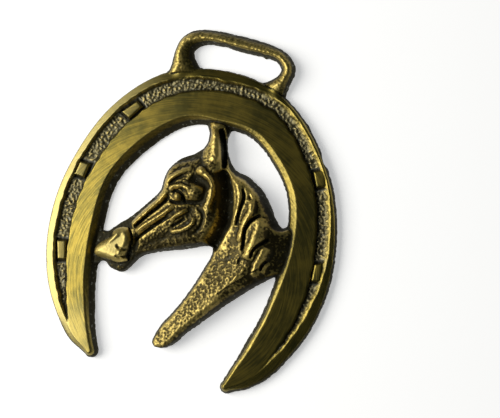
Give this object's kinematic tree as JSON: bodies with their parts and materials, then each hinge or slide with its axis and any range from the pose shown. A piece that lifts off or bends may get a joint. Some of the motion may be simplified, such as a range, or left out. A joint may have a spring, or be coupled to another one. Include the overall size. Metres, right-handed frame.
{
  "type": "horse brass",
  "caption": "Flat-backed cast brass harness ornament: a horseshoe with a strap loop on top and a horse's head and neck in relief across its opening.",
  "frame": {"origin": "centre of the plan outline, on the flat back that the brass lies on", "axes": "+Z out of the relief, away from the flat back; +Y towards the strap loop; +X to the right when the relief is looked at with the loop up"},
  "size_m": [0.0716, 0.0862, 0.0082],
  "materials": {
    "cast_brass": "aged cast brass: worn bright on the web and the high relief, greenish-black patina and casting grain in the recesses"
  },
  "bodies": {
    "root": {"horse_brass": "cast_brass"}
  },
  "joints": []
}
